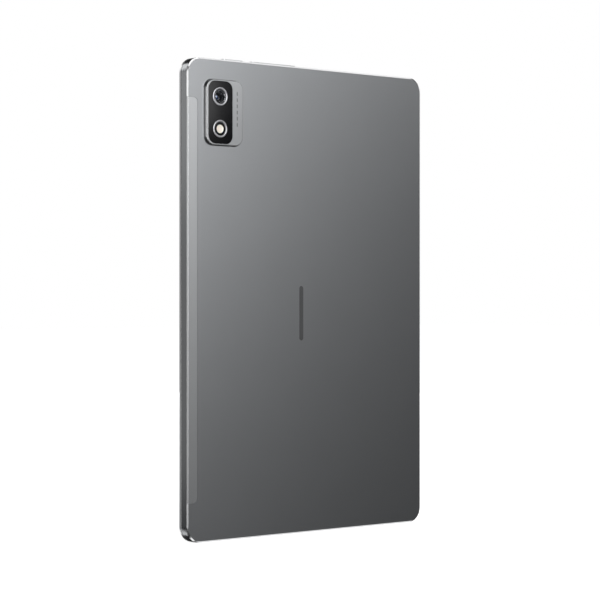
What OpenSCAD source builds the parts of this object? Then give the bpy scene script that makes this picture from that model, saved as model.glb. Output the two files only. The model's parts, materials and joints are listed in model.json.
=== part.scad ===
// Tablet computer with an aluminium back housing, standing upright on one short edge.
// The screen faces -Y and the back faces +Y. The origin is below the middle of the body.
// Every level through the thickness is stacked up from the front of the cover glass.

/* [Body] */
// Width of the body, across the short side
body_w = 156.8; // [156:0.2:158]
// Height of the body, along the long side
body_h = 240; // [240:0.5:242]
// Thickness from the cover glass to the back, without the camera island
body_t = 7.6; // [7.6:0.05:7.8]
// Corner radius of the outline
corner_r = 8; // [7:0.5:10]
// Width of the polished chamfer round the back, in the plane of the back
chamfer_w = 0.7; // [0.5:0.1:1.1]
// Depth of the polished chamfer
chamfer_d = 0.45; // [0.3:0.05:0.5]
// Rounding of the housing's edges along the seam between the frame and the rear cover
seam_round = 0.2; // [0.1:0.05:0.3]

/* [Rear cover] */
// Depth of the rear cover's side wall, chamfer included
cover_depth = 5.1; // [5:0.05:5.2]
// Thickness of the cover's side walls
wall_t = 1.2; // [1.1:0.05:1.2]
// Thickness of the cover's back wall
back_t = 0.8; // [0.7:0.05:0.8]
// Width of the plastic antenna window along the long edge
strip_w = 6.4; // [6:0.1:7]
// Distance from each short edge to the end of the antenna window
strip_end = 19.8; // [18:0.1:24]
// Corner radius of the antenna window
strip_r = 2.4; // [2:0.1:3]

/* [Screen] */
// Thickness of the cover glass
glass_t = 0.7; // [0.6:0.05:0.7]
// Distance from the body's outline to the edge of the glass
glass_inset = 1.2; // [1.1:0.05:1.4]
// Width of the display panel
panel_w = 139.8; // [139:0.1:140]
// Height of the display panel
panel_h = 221.6; // [221:0.1:222]
// Thickness of the display panel
panel_t = 0.9; // [0.8:0.05:0.9]
// Thickness of the backlight unit behind the panel
light_t = 0.95; // [0.9:0.05:0.95]

/* [Camera island] */
// How far the camera island stands out from the back
island_rise = 1.7; // [1.6:0.05:1.8]
// Width of the island at its foot
island_w = 24; // [23.8:0.1:24.4]
// Height of the island at its foot
island_h = 33.3; // [33.2:0.1:34]
// How far the island's sloping walls lean in between its foot and its rim
island_slope = 0.55; // [0.4:0.05:0.6]
// Corner radius of the island
island_r = 5; // [4.6:0.1:5.4]
// Distance from the long edge to the middle of the island
island_from_side = 22.1; // [22:0.1:22.3]
// Distance from the top edge to the middle of the island
island_from_top = 26.75; // [26.5:0.05:27]
// Width of the dark camera window
window_w = 15; // [14.8:0.1:15.2]
// Height of the dark camera window
window_h = 31.2; // [31:0.1:31.4]
// Corner radius of the camera window
window_r = 4.2; // [4:0.1:4.4]
// Distance from the long edge to the camera's and the flash's middle
lens_from_side = 19.35; // [19.2:0.05:19.5]
// Distance from the top edge to the camera's middle
lens_from_top = 18.9; // [18.8:0.05:19]
// Distance from the top edge to the flash's middle
flash_from_top = 34.95; // [34.8:0.05:35.1]
// Outer radius of the camera's trim ring
lens_ring_r = 4.7; // [4.5:0.05:4.8]
// Outer radius of the flash's trim ring
flash_ring_r = 4.5; // [4.4:0.05:4.6]
// Width of both trim rings
ring_w = 1.2; // [1:0.05:1.3]

/* [Keys] */
// Length of the power key
power_len = 12.9; // [12:0.1:13]
// Distance from the long edge to the middle of the power key
power_from_side = 29.95; // [29.9:0.05:30.2]
// Length of the volume key
volume_len = 29; // [28:0.1:29]
// Distance from the long edge to the middle of the volume key
volume_from_side = 56; // [56:0.05:56.2]
// Thickness of both keys
key_t = 2.2; // [2:0.1:2.4]
// How far the keys stand out from the top edge
key_rise = 0.5; // [0.4:0.05:0.6]
// Gap all round a key or the card tray in its slot
key_gap = 0.15; // [0.12:0.01:0.2]

/* [Sockets] */
// Radius of the headphone socket
jack_r = 1.8; // [1.75:0.05:1.8]
// Distance from the middle of the body to the headphone socket
jack_x = -56; // [-57:0.5:-55]
// Width of the USB socket's mouth
usb_w = 8.34; // [8.3:0.01:8.4]
// Height of the USB socket's mouth
usb_t = 2.56; // [2.5:0.01:2.6]
// Width of the card tray
tray_w = 12; // [12:0.1:12.2]
// Middle of the card tray above the bottom edge
tray_z = 203.2; // [203:0.1:203.4]

/* [Hidden] */
$fn = 48;

half_w = body_w / 2;

// Levels through the thickness, from the screen to the back
y_front = -(body_t + island_rise) / 2;
y_back = y_front + body_t;
y_top = y_back + island_rise;
y_glass = y_front + glass_t;
adhesive_t = 0.15;
y_lip = y_glass + adhesive_t;
y_panel = y_glass + panel_t;
y_light = y_panel + light_t;
plate_t = 0.5;
y_plate = y_light + 0.05;
y_bay = y_plate + plate_t;
y_inner = y_back - back_t;
y_cover_front = y_back - cover_depth;
y_side = y_back - chamfer_d;
y_axis = 0.05;
pcb_t = 0.7;
flex_t = 0.15;
plug_t = 0.9;
fit_gap = 0.2;
y_pcb = y_bay + 0.2;
y_parts = y_pcb + pcb_t;
seam = 0.05;
side_ease = 0.05;

// The display panel and, a little larger, the folded tray behind it
panel_z0 = (body_h - panel_h) / 2;
panel_z1 = (body_h + panel_h) / 2;
light_half_w = panel_w / 2 + 0.2;
light_z0 = panel_z0 - 0.2;
light_z1 = panel_z1 + 0.2;
fold_t = 0.25;

// Middle of the camera island, of the camera and of the flash
island_x = half_w - island_from_side;
island_z = body_h - island_from_top;
window_x = island_x + 2.7;
lens_x = half_w - lens_from_side;
lens_z = body_h - lens_from_top;
flash_z = body_h - flash_from_top;
y_window = y_top - 0.25;
window_t = 0.7;
socket_r = 3.9;

// The camera module
module_w = 8.6;
barrel_r = 2.7;

// The front camera and the light sensor beside it, both behind the border of the glass
eye_x = 73.9;
eye_z = body_h / 2;
sensor_z = eye_z + 13;

// Heights of the snap clips along the long sides
clip_z = [38, 88, 150, 182];

// Keys
power_x = half_w - power_from_side;
volume_x = half_w - volume_from_side;
z_wall = body_h - wall_t;
pivot_z = body_h - 3;
pivot_r = 0.4;
nub_offset = 11;
switch_x = [power_x, volume_x - nub_offset, volume_x + nub_offset];

// Depths of the sockets, and the width of the holes for the microphones
usb_z1 = 8.2;
jack_z0 = 224.5;
mic_x = -20;
mic_hole_r = 0.45;

// Battery
cell_gap = 6;
cell_w = 62;
cell_z0 = 52;
cell_z1 = 184;
y_cell = y_bay + 0.1;
cell_t = 3.1;
cell_board_z = cell_z1 + 3;

// Boards, and the chips and their shields on the main one as [left, right, bottom, top]
board_z0 = 192.5;
board_z1 = 231;
board_x = 50;
board_ear_z1 = 217;
processor_box = [12, 26, 203, 217];
memory_box = [29, 40.5, 203.5, 216.5];
storage_box = [12, 22, 198.4, 201.6];
charger_box = [-34, -27, 206, 213];
radio_box = [-22, -17, 206, 211];
processor_shield_box = [4, 43.5, 197.5, 221.5];
power_shield_box = [-38.5, -1, 197.5, 221.5];
shield_t = 0.2;
processor_shield_t = 2;
main_screws = [[-46, 227], [20, 228.6], [46, 196], [-70, 215.4]];
sub_screws = [[-29, 19], [29, 19], [-14, 6.5], [14, 6.5]];
screw_r = 0.7;

// Speakers
speaker_x = 52;
speaker_w = 32;
speaker_z0 = 2.2;
speaker_z1 = 30;
speaker_hole_r = 0.6;
speaker_holes = 8;
speaker_pitch = 2.4;

// Card tray and its ejector
tray_end = -half_w + 30.7;
tray_face_w = tray_w + 2.8;
tray_face_t = 2.1;
eject_z = 212.4;
eject_hole_r = 0.55;
reader_x1 = -40.5;
lever_x = -44.2;
lever_z = 207;
y_tray = -0.35;
tray_t = 0.9;

// ---- Shared shapes ----

// Rounded rectangle in the plane, centred
module rounded(w, h, r) {
    square([w - 2 * r, h], center = true);
    square([w, h - 2 * r], center = true);
    for (sx = [-1, 1], sy = [-1, 1])
        translate([sx * (w / 2 - r), sy * (h / 2 - r)]) circle(r);
}

// Plate in the XZ plane, from y0 to y1, with rounded corners if r is more than 0
module slab(x0, x1, z0, z1, y0, y1, r = 0) {
    translate([(x0 + x1) / 2, y1, (z0 + z1) / 2]) rotate([90, 0, 0]) linear_extrude(y1 - y0)
        if (r > 0) rounded(x1 - x0, z1 - z0, r);
        else square([x1 - x0, z1 - z0], center = true);
}

// Bar along X, Y or Z with a rounded section across it
module bar_x(x0, x1, z, y, wz, wy, r) {
    translate([x0, y, z]) rotate([0, 90, 0]) linear_extrude(x1 - x0) rounded(wz, wy, r);
}
module bar_z(z0, z1, x, y, wx, wy, r) {
    translate([x, y, z0]) linear_extrude(z1 - z0) rounded(wx, wy, r);
}
module rod_x(x0, x1, z, y, r) {
    translate([x0, y, z]) rotate([0, 90, 0]) cylinder(h = x1 - x0, r = r);
}
module rod_y(x, z, y0, y1, r) {
    translate([x, y1, z]) rotate([90, 0, 0]) cylinder(h = y1 - y0, r = r);
}
module rod_z(x, y, z0, z1, r) {
    translate([x, y, z0]) cylinder(h = z1 - z0, r = r);
}

// Solid with a rounded outline whose edge follows a profile all the way round.
// The profile is a list of [inset from the outline, y], from the lowest y to the highest.
module rimmed(w, h, r, profile) {
    n = len(profile);
    function section(half) = concat(
        [for (p = profile) [half - p[0], p[1]]],
        [for (i = [n - 1:-1:0]) [profile[i][0] - half, profile[i][1]]]);
    translate([0, 0, r - h / 2]) linear_extrude(h - 2 * r) polygon(section(w / 2));
    translate([r - w / 2, 0, 0]) rotate([0, 90, 0]) linear_extrude(w - 2 * r)
        polygon(section(h / 2));
    corners = [[1, -1], [-1, -1], [-1, 1], [1, 1]];
    for (k = [0:3])
        translate([corners[k][0] * (w / 2 - r), 0, corners[k][1] * (h / 2 - r)])
            rotate([-90, 0, 0]) rotate([0, 0, 90 * k]) rotate_extrude(angle = 90)
                polygon(concat([[0, profile[0][1]]], [for (p = profile) [r - p[0], p[1]]],
                               [[0, profile[n - 1][1]]]));
}

// Quarter-round edge at the low-y face, as steps of a profile
function front_round(r, y, n = 4) =
    [for (i = [0:n]) let(a = 90 * i / n) [r * (1 - sin(a)), y + r * (1 - cos(a))]];

// Side wall of the cover, rounded a little at the seam and at the foot of its polished chamfer
cover_profile = [
    [seam_round, y_cover_front], [seam_round * 0.3, y_cover_front + seam_round * 0.5],
    [0, y_cover_front + seam_round * 1.3], [0, y_side - seam_round * 2],
    [side_ease, y_side], [side_ease + chamfer_w, y_back]
];

module cover_solid() {
    translate([0, 0, body_h / 2]) rimmed(body_w, body_h, corner_r, cover_profile);
}

// Pocket of the antenna window, running out over the long edge. grow is negative for the piece.
module strip_pocket(y0, grow) {
    slab(half_w - strip_w - grow, half_w + 5, strip_end - grow, body_h - strip_end + grow,
         y0, y_back + 1, strip_r);
}

// Places its children at both speakers
module both_speakers() {
    for (s = [-1, 1]) translate([s * speaker_x, 0, 0]) children();
}

// ---- Screen ----

module cover_glass() {
    edge = concat(front_round(0.45, y_front), [[0, y_glass]]);
    color([0.03, 0.03, 0.035]) translate([0, 0, body_h / 2])
        rimmed(body_w - 2 * glass_inset, body_h - 2 * glass_inset, corner_r - glass_inset, edge);
}

module display_adhesive() {
    color([0.1, 0.1, 0.1]) difference() {
        slab(-half_w + 1.6, half_w - 1.6, 1.6, body_h - 1.6, y_glass, y_lip, corner_r - 1.6);
        slab(-panel_w / 2 - 1.7, panel_w / 2 + 1.7, panel_z0 - 1.6, panel_z1 + 3,
             y_glass - 1, y_lip + 1);
        rod_y(eye_x, eye_z, y_glass - 1, y_lip + 1, 2.2);
        rod_y(eye_x, sensor_z, y_glass - 1, y_lip + 1, 1.4);
    }
}

// Two bonded panes, the rear one longer to carry the driver chip along the top
module display_panel() {
    y_pane = y_glass + panel_t / 2;
    color([0.08, 0.08, 0.1]) {
        slab(-panel_w / 2, panel_w / 2, panel_z0, panel_z1 - 3.2, y_glass, y_pane);
        slab(-panel_w / 2, panel_w / 2, panel_z0, panel_z1, y_pane, y_panel);
        slab(-12, 12, panel_z1 - 2.6, panel_z1 - 1.2, y_pane - 0.3, y_pane);
    }
}

module light_guide() {
    color([0.85, 0.88, 0.9])
        slab(-light_half_w + 0.3, light_half_w - 0.3, light_z0 + 0.4, light_z1 - 0.4,
             y_panel, y_light - 0.15);
}

module backlight_tray() {
    color("silver") difference() {
        slab(-light_half_w, light_half_w, light_z0, light_z1, y_panel, y_light);
        slab(-light_half_w + fold_t, light_half_w - fold_t, light_z0 + fold_t,
             light_z1 - fold_t, y_panel - 1, y_light - 0.15);
    }
}

// Leaves the front of the panel, turns over the top of the main board and plugs in behind it
module display_flex() {
    half = 15;
    z_turn = panel_z1 + 1.2;
    z_plug = board_z1 - 4.7;
    y_pane = y_glass + panel_t / 2;
    color("darkorange") {
        slab(-half, half, panel_z1 - 0.8, z_turn, y_pane - flex_t, y_pane);
        slab(-half, half, z_turn, z_turn + flex_t, y_pane - flex_t, y_parts + flex_t);
        slab(-half, half, z_plug, z_turn, y_parts, y_parts + flex_t);
        slab(-8, 8, z_plug - 2.5, z_plug, y_parts, y_parts + plug_t);
    }
}

// ---- Frame and housing ----

module clips(depth, grow) {
    for (z = clip_z, s = [-1, 1]) {
        x0 = half_w - wall_t - 0.1;
        slab(min(s * x0, s * (x0 + depth)), max(s * x0, s * (x0 + depth)),
             z - 4 - grow, z + 4 + grow, y_bay - grow, y_bay + 0.9 + grow);
    }
}

// Moulded frame: lip round the screen, plate behind the screen, snap clips and screw bosses
module mid_frame() {
    lip = concat(front_round(0.5, y_lip),
                 [[0, y_cover_front - seam - seam_round], [seam_round, y_cover_front - seam]]);
    color([0.62, 0.63, 0.65]) difference() {
        union() {
            translate([0, 0, body_h / 2]) rimmed(body_w, body_h, corner_r, lip);
            slab(-half_w + wall_t + 0.1, half_w - wall_t - 0.1, wall_t + 0.1,
                 body_h - wall_t - 0.1, y_cover_front - seam, y_bay, corner_r - wall_t - 0.1);
            for (s = [-1, 1])
                slab(s * 76.6 - 0.5, s * 76.6 + 0.5, 34, 186, y_bay, y_bay + 0.9);
            clips(0.35, 0);
            for (p = concat(main_screws, sub_screws)) rod_y(p[0], p[1], y_bay, y_pcb, 1.8);
        }
        slab(-light_half_w - fit_gap, light_half_w + fit_gap, light_z0 - 0.1, light_z1 + 0.1,
             y_front, y_plate);
        slab(-17, 17, panel_z1 - 0.3, panel_z1 + 2.2, y_front, y_bay + 1);
        slab(jack_x - 3.9, jack_x + 3.9, jack_z0 - 1.5, body_h, y_plate, y_bay + 1);
        rod_y(eye_x, eye_z, y_front, y_bay + 2, 3);
        slab(eye_x - 1.6, eye_x + 1.6, sensor_z - 1.6, sensor_z + 1.6, y_front, y_bay + 2);
        for (p = concat(main_screws, sub_screws)) rod_y(p[0], p[1], y_front, y_pcb + 1, screw_r);
    }
}

module rear_cover() {
    color([0.42, 0.43, 0.44]) difference() {
        cover_solid();
        slab(-half_w + wall_t, half_w - wall_t, wall_t, z_wall, y_cover_front - 1, y_inner,
             corner_r - wall_t);
        strip_pocket(y_back - 0.55, 0);
        for (z = [body_h * 0.25, body_h * 0.5, body_h * 0.75])
            slab(half_w - 5.4, half_w - 2.4, z - 24, z + 24, y_inner - 1, y_back, 1.4);
        slab(island_x - island_w / 2 + 1.6, island_x + island_w / 2 - 1.6,
             island_z - island_h / 2 + 1.6, island_z + island_h / 2 - 1.6,
             y_inner - 1, y_back + 1, island_r - 1.6);
        bar_z(z_wall - 1, body_h + 1, power_x, y_axis, power_len + 2 * key_gap,
              key_t + 2 * key_gap, key_t / 2 + key_gap - 0.01);
        bar_z(z_wall - 1, body_h + 1, volume_x, y_axis, volume_len + 2 * key_gap,
              key_t + 2 * key_gap, key_t / 2 + key_gap - 0.01);
        rod_z(jack_x, y_axis, z_wall - 1, body_h + 1, jack_r + 0.1);
        bar_z(-1, wall_t + 1, 0, y_axis, usb_w + 0.5, usb_t + 0.5, usb_t / 2 + 0.24);
        both_speakers() for (i = [0:speaker_holes - 1])
            rod_z((i - (speaker_holes - 1) / 2) * speaker_pitch, y_axis, -1, wall_t + 1,
                  speaker_hole_r);
        rod_z(mic_x, y_axis, -1, wall_t + 1, mic_hole_r);
        rod_z(mic_x, y_axis, z_wall - 1, body_h + 1, mic_hole_r);
        bar_x(-half_w - 1, -half_w + wall_t + 1, tray_z, y_axis, tray_face_w + 2 * key_gap,
              tray_face_t + 2 * key_gap, tray_face_t / 2 + key_gap - 0.01);
        rod_x(-half_w - 1, -half_w + wall_t + 1, eject_z, y_axis, eject_hole_r);
        clips(0.45, 0.1);
    }
}

module antenna_window() {
    color([0.55, 0.56, 0.57]) intersection() {
        cover_solid();
        strip_pocket(y_back - 0.55, -0.06);
    }
}

module side_antenna() {
    color("goldenrod") {
        slab(72.6, 76.4, 30, 210, y_inner - 0.2, y_inner, 0.6);
        slab(72.6, 75.2, 190, 193.5, y_inner - 1.4, y_inner - 0.2);
    }
}

module antenna_cable() {
    color("black") {
        rod_z(71, y_inner - 0.8, 196, 216, 0.4);
        rod_x(71, 74, 196, y_inner - 0.8, 0.4);
        translate([71, y_inner - 0.8, 196]) sphere(0.4);
    }
}

// ---- Camera island ----

module camera_island() {
    rim = [[0, y_back], [island_slope, y_top - 0.3], [island_slope + 0.08, y_top - 0.14],
           [island_slope + 0.25, y_top]];
    color([0.72, 0.73, 0.74]) difference() {
        union() {
            translate([island_x, 0, island_z]) rimmed(island_w, island_h, island_r, rim);
            slab(island_x - island_w / 2 + 1.65, island_x + island_w / 2 - 1.65,
                 island_z - island_h / 2 + 1.65, island_z + island_h / 2 - 1.65,
                 y_inner, y_back, island_r - 1.65);
        }
        slab(window_x - window_w / 2, window_x + window_w / 2, island_z - window_h / 2,
             island_z + window_h / 2, y_window - window_t, y_top + 1, window_r);
        slab(lens_x - module_w / 2 - 0.15, lens_x + module_w / 2 + 0.15,
             lens_z - module_w / 2 - 0.15, lens_z + module_w / 2 + 0.15, y_inner - 1, y_top);
        rod_y(lens_x, flash_z, y_inner - 1, y_top, 3);
    }
}

module camera_window() {
    color([0.02, 0.02, 0.025]) difference() {
        slab(window_x - window_w / 2 + 0.05, window_x + window_w / 2 - 0.05,
             island_z - window_h / 2 + 0.05, island_z + window_h / 2 - 0.05,
             y_window - window_t, y_window, window_r - 0.05);
        rod_y(lens_x, lens_z, y_inner, y_top, socket_r);
        rod_y(lens_x, flash_z, y_inner, y_top, socket_r);
    }
}

// Polished ring: a neck through the window glass and a rounded collar on top of it
module trim_ring(outer_r, z) {
    inner_r = outer_r - ring_w;
    mid_r = outer_r - ring_w / 2;
    section = [
        [inner_r, y_window - window_t], [socket_r, y_window - window_t], [socket_r, y_window],
        [outer_r, y_window], [outer_r, y_window + 0.1], [mid_r + 0.25, y_window + 0.24],
        [mid_r - 0.2, y_window + 0.25], [inner_r + 0.1, y_window + 0.1], [inner_r, y_window]
    ];
    translate([lens_x, 0, z]) rotate([-90, 0, 0]) rotate_extrude() polygon(section);
}

module camera_ring() {
    color("silver") trim_ring(lens_ring_r, lens_z);
}

module camera_lens_cover() {
    color([0.05, 0.05, 0.08])
        rod_y(lens_x, lens_z, y_window - window_t, y_window - 0.1, lens_ring_r - ring_w - 0.03);
}

module flash_ring() {
    color("silver") trim_ring(flash_ring_r, flash_z);
}

// Clear window over the flash, black round a light centre
module flash_diffuser() {
    color([0.95, 0.92, 0.85])
        rod_y(lens_x, flash_z, y_window - window_t, y_window - 0.1, flash_ring_r - ring_w - 0.03);
}

module flash_led() {
    y0 = y_inner - 0.9;
    color([0.98, 0.9, 0.6]) {
        slab(lens_x - 3.2, lens_x + 3.2, flash_z - 3.2, flash_z + 3.2, y0, y0 + 0.3);
        slab(lens_x - 1.4, lens_x + 1.4, flash_z - 1.4, flash_z + 1.4, y0 + 0.3, y0 + 1.1);
        rod_y(lens_x, flash_z, y0 + 1.1, y0 + 1.35, 1.1);
    }
}

module camera_housing() {
    y1 = y_window - window_t - 0.15;
    color([0.25, 0.25, 0.27]) difference() {
        slab(lens_x - module_w / 2, lens_x + module_w / 2, lens_z - module_w / 2,
             lens_z + module_w / 2, y_parts, y1, 0.6);
        rod_y(lens_x, lens_z, y_parts + 0.4, y1 + 1, barrel_r + 0.1);
        rod_y(lens_x, lens_z, y_parts - 1, y1, 1.6);
    }
}

// Moving lens barrel of the autofocus, open through its middle
module camera_barrel() {
    y0 = y_parts + 0.45;
    y1 = y_window - window_t - 0.4;
    color([0.1, 0.1, 0.1]) difference() {
        rod_y(lens_x, lens_z, y0, y1, barrel_r);
        rod_y(lens_x, lens_z, y0 + 0.3, y1 + 1, 2.1);
        rod_y(lens_x, lens_z, y0 - 1, y1, 1.5);
    }
}

module camera_lenses() {
    y0 = y_parts + 0.75;
    color([0.2, 0.3, 0.45, 0.6]) for (i = [0:2])
        rod_y(lens_x, lens_z, y0 + i * 0.65, y0 + i * 0.65 + 0.45, 2.1);
}

module camera_board() {
    color([0.1, 0.35, 0.2]) {
        slab(lens_x - module_w / 2, lens_x + module_w / 2, lens_z - module_w / 2,
             lens_z + module_w / 2, y_parts - 0.5, y_parts - 0.2, 0.4);
        slab(lens_x - 2.4, lens_x + 2.4, lens_z - 1.9, lens_z + 1.9, y_parts - 0.2, y_parts);
        slab(50.4, lens_x - module_w / 2, lens_z - 2, lens_z + 2, y_parts - 0.5, y_parts - 0.35);
        slab(50.4, 50.55, lens_z - 2, lens_z + 2, y_parts - 0.5, y_parts + 0.15);
        slab(48.2, 50.55, lens_z - 2, lens_z + 2, y_parts, y_parts + 0.15);
        slab(45, 48.2, lens_z - 3, lens_z + 3, y_parts, y_parts + 0.9);
    }
}

module front_camera() {
    color([0.12, 0.12, 0.14]) {
        difference() {
            union() {
                rod_y(eye_x, eye_z, y_lip + 0.05, y_bay, 2.4);
                slab(eye_x - 2.4, eye_x + 2.1, eye_z - 2.9, eye_z + 2.9, y_bay, y_bay + 1.6);
            }
            rod_y(eye_x, eye_z, y_lip - 1, y_lip + 0.6, 1.5);
        }
        rod_y(eye_x, eye_z, y_lip + 0.3, y_lip + 0.6, 1.5);
    }
}

module light_sensor() {
    color([0.2, 0.1, 0.12]) {
        slab(eye_x - 1.2, eye_x + 1.2, sensor_z - 1.2, sensor_z + 1.2, y_bay - 0.8, y_bay);
        slab(eye_x - 1.7, eye_x + 1.7, sensor_z - 2, sensor_z + 5, y_bay, y_bay + 0.2);
    }
}

// ---- Battery ----

module battery_cell(side) {
    x0 = side * (cell_gap / 2 + cell_w / 2) - cell_w / 2;
    slab(x0, x0 + cell_w, cell_z0, cell_z1, y_cell, y_cell + cell_t, 1.5);
    slab(x0 + 2, x0 + cell_w - 2, cell_z1, cell_z1 + 2.6, y_cell + 0.4, y_cell + 0.7);
    slab(x0 + 1.5, x0 + cell_w - 1.5, cell_z0 - 1.2, cell_z0, y_cell + 0.4, y_cell + 0.9);
}

module battery_cell_left() {
    color([0.75, 0.76, 0.78]) battery_cell(-1);
}

module battery_cell_right() {
    color([0.75, 0.76, 0.78]) battery_cell(1);
}

module battery_board() {
    y1 = y_cell + 0.6;
    color([0.1, 0.4, 0.25]) {
        slab(-30, 30, cell_board_z, cell_board_z + 4.8, y_cell + 0.1, y1);
        for (x = [-24, -16, 16, 24])
            slab(x - 1.5, x + 1.5, cell_board_z - 0.3, cell_board_z + 2.5, y1, y1 + 0.1);
        for (x = [-9, -4, 1])
            slab(x, x + 3, cell_board_z + 1, cell_board_z + 3.6, y1, y1 + 0.8);
    }
}

// Steps up from the battery board to a plug on the main board
module battery_flex() {
    x = 10;
    z_step = cell_board_z + 3.9;
    z_plug = board_z0 + 0.9;
    color("darkorange") {
        slab(x - 3, x + 3, z_step - 1.7, z_step, y_cell + 0.6, y_parts + flex_t);
        slab(x - 3, x + 3, z_step, z_plug, y_parts, y_parts + flex_t);
        slab(x - 5, x + 5, z_plug, z_plug + 2.8, y_parts, y_parts + plug_t);
    }
}

module battery_adhesive() {
    color([0.9, 0.9, 0.85]) for (x = [-52, -16, 16, 52])
        slab(x - 6, x + 6, cell_z0 + 8, cell_z1 - 8, y_bay, y_cell);
}

// ---- Main board ----

// A part of thickness t on the back of a board, in the box [left, right, bottom, top]
module chip(box, t, r = 0) {
    slab(box[0], box[1], box[2], box[3], y_parts, y_parts + t, r);
}

module mainboard() {
    color([0.08, 0.3, 0.22]) difference() {
        union() {
            slab(-board_x, board_x, board_z0, board_z1, y_pcb, y_parts);
            slab(-half_w + 1.8, -board_x, board_z0, board_ear_z1, y_pcb, y_parts);
            for (i = [0:9]) chip([-40 + i * 3, -38.8 + i * 3, 223.6, 224.3], 0.4);
            for (i = [0:5]) chip([23, 23.6, 223 + i * 1.2, 223.8 + i * 1.2], 0.4);
        }
        for (p = main_screws) rod_y(p[0], p[1], y_pcb - 1, y_parts + 1, screw_r + 0.1);
    }
}

module processor() {
    color([0.15, 0.15, 0.17]) chip(processor_box, 1, 0.3);
}

module memory_chips() {
    color([0.1, 0.1, 0.11]) {
        chip(memory_box, 0.9);
        chip(storage_box, 0.7);
    }
}

module power_chips() {
    color([0.12, 0.12, 0.13]) {
        chip(charger_box, 0.8);
        chip(radio_box, 0.8);
        for (i = [0:4]) chip([-30 + i * 4, -27.5 + i * 4, 199.5, 202], 1);
    }
}

// Folded steel can, open towards the board
module shield(box, t) {
    difference() {
        chip(box, t, 0.5);
        slab(box[0] + shield_t, box[1] - shield_t, box[2] + shield_t, box[3] - shield_t,
             y_parts - 1, y_parts + t - shield_t);
    }
}

module shield_processor() {
    color("lightgray") shield(processor_shield_box, processor_shield_t);
}

module shield_power() {
    color("lightgray") shield(power_shield_box, 1.6);
}

module thermal_pad() {
    color([0.6, 0.75, 0.85])
        slab(11, 37, 201, 219, y_parts + processor_shield_t, y_inner - 0.12);
}

module graphite_sheet() {
    color([0.2, 0.2, 0.2])
        slab(-38, 43, 60, 222, y_inner - 0.12, y_inner - 0.02, 4);
}

// Pan-head screw along Y with a cross recess
module board_screw(p) {
    difference() {
        union() {
            rod_y(p[0], p[1], y_parts, y_parts + 0.55, 1.3);
            rod_y(p[0], p[1], y_plate + 0.1, y_parts, screw_r);
        }
        slab(p[0] - 0.8, p[0] + 0.8, p[1] - 0.15, p[1] + 0.15, y_parts + 0.25, y_parts + 1);
        slab(p[0] - 0.15, p[0] + 0.15, p[1] - 0.8, p[1] + 0.8, y_parts + 0.25, y_parts + 1);
    }
}

module board_screws() {
    color("dimgray") for (p = concat(main_screws, sub_screws)) board_screw(p);
}

// ---- Lower board and sockets ----

module sub_board() {
    color([0.08, 0.3, 0.22]) difference() {
        union() {
            slab(-32, 32, 4, 22, y_pcb, y_parts);
            slab(-9, 9, 16.5, 19.5, y_parts, y_parts + 0.8);
            for (i = [0:4]) slab(18, 19.2, 6 + i * 2, 6.8 + i * 2, y_parts, y_parts + 0.4);
        }
        slab(-4.7, 4.7, 0, 9.2, y_pcb - 1, y_parts + 1);
        for (p = sub_screws) rod_y(p[0], p[1], y_pcb - 1, y_parts + 1, screw_r + 0.1);
    }
}

module usb_shell() {
    color("silver") difference() {
        bar_z(wall_t + 0.1, usb_z1 + 0.6, 0, y_axis, usb_w + 0.6, usb_t + 0.6,
              usb_t / 2 + 0.29);
        bar_z(0, usb_z1, 0, y_axis, usb_w, usb_t, usb_t / 2 - 0.01);
    }
}

// Thin tongue on a thicker root that closes the back of the shell
module usb_tongue() {
    z_root = usb_z1 - 1.6;
    color([0.1, 0.1, 0.1]) {
        slab(-3.35, 3.35, wall_t + 1, z_root, y_axis - 0.35, y_axis + 0.35);
        slab(-2.8, 2.8, z_root, usb_z1, y_axis - 1.1, y_axis + 1.1);
    }
}

module headphone_jack() {
    color([0.13, 0.13, 0.13]) difference() {
        slab(jack_x - 3.4, jack_x + 3.4, jack_z0, z_wall - 0.05, y_axis - 2.05, y_axis + 2.05);
        rod_z(jack_x, y_axis, jack_z0 + 1, body_h, jack_r);
    }
}

// Runs over the battery from the lower board to the main board
module main_flex() {
    half = 6;
    z0 = 14.6;
    z1 = board_z0 + 3.1;
    y1 = y_cell + cell_t + 0.05;
    color("darkorange") {
        slab(-half, half, z0, z1, y1, y1 + flex_t);
        slab(-half, half, z0 - 3, z0, y_parts, y1 + flex_t);
        slab(-half, half - 2, z1 - 2, z1 + 1, y_parts, y1);
    }
}

// ---- Speakers and microphones ----

module speaker_box() {
    half = speaker_w / 2;
    wall = 0.8;
    difference() {
        slab(-half, half, speaker_z0, speaker_z1, y_bay + 0.1, y_inner - 0.1, 1.5);
        slab(wall - half, half - wall, speaker_z0 + wall, speaker_z1 - wall, y_bay + 0.6,
             y_inner - 0.6, 1);
        slab(-10.5, 10.5, speaker_z0 - 0.2, speaker_z0 + 1.8, y_axis - 0.8, y_axis + 0.8);
    }
}

module speaker_left() {
    color([0.14, 0.14, 0.15]) translate([-speaker_x, 0, 0]) speaker_box();
}

module speaker_right() {
    color([0.14, 0.14, 0.15]) translate([speaker_x, 0, 0]) speaker_box();
}

module speaker_diaphragms() {
    color([0.25, 0.25, 0.27]) both_speakers() {
        slab(-10, 10, 9, 23, y_bay + 0.6, y_bay + 1.5, 6.9);
        slab(-8.5, 8.5, 10.5, 21.5, y_bay + 1.5, y_bay + 1.75, 5.4);
    }
}

module speaker_meshes() {
    color([0.05, 0.05, 0.05]) both_speakers()
        slab(-10, 10, wall_t + 0.1, wall_t + 0.4, y_axis - 1, y_axis + 1);
}

module microphones() {
    color("gold") {
        for (z = [5.7, 229.3]) chip([mic_x - 1.75, mic_x + 1.75, z - 1.3, z + 1.3], 1);
    }
}

// ---- Side keys ----

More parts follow.
